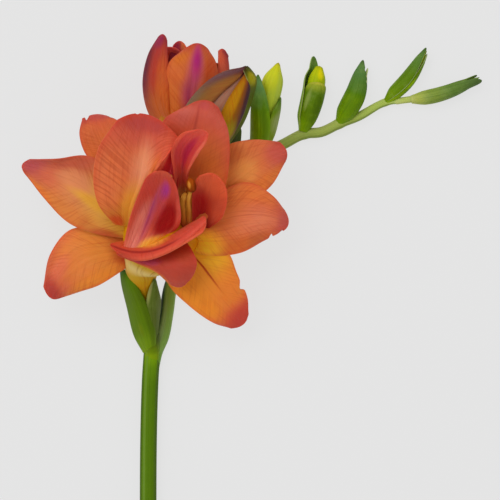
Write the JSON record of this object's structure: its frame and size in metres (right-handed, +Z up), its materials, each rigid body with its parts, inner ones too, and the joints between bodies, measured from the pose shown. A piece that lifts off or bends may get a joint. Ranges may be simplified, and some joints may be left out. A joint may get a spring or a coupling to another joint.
{
  "type": "freesia stem",
  "caption": "Cut freesia stem lying down: straight stalk, bent spike, wide open semi-double flower, half-open flower, coloured bud and closed green buds in bracts.",
  "frame": {"origin": "under the middle of the whole stem, on the surface it lies on", "axes": "+Y along the stalk from its cut end to the flowers, +X to the side the bud spike bends to, +Z up from the surface"},
  "size_m": [0.1108, 0.2002, 0.0403],
  "materials": {
    "stem_green": "satin plant stalk, fine lengthwise ribs",
    "petal_orange": "soft petal, orange with coral edges, yellow throat and fine veins",
    "petal_scarlet": "soft petal, orange red with a purple stripe",
    "bud_mauve": "closed petals, dusky mauve to gold",
    "bud_yellow": "smooth yellow-green bud",
    "bract_green": "satin leafy bract with pale margin",
    "style_gold": "golden filament with a brown anther"
  },
  "bodies": {
    "root": {"stem": "stem_green", "open_flower": "petal_orange", "open_flower_style": "style_gold", "open_flower_bracts": "bract_green", "half_open_flower": "petal_scarlet", "coloured_bud": "bud_mauve", "coloured_bud_bracts": "bract_green", "yellow_bud": "bud_yellow", "yellow_bud_bracts": "bract_green", "green_bud_1": "bud_yellow", "green_bud_1_bracts": "bract_green", "green_bud_2": "bract_green", "green_bud_3": "bract_green", "green_bud_4": "bract_green"}
  },
  "joints": []
}
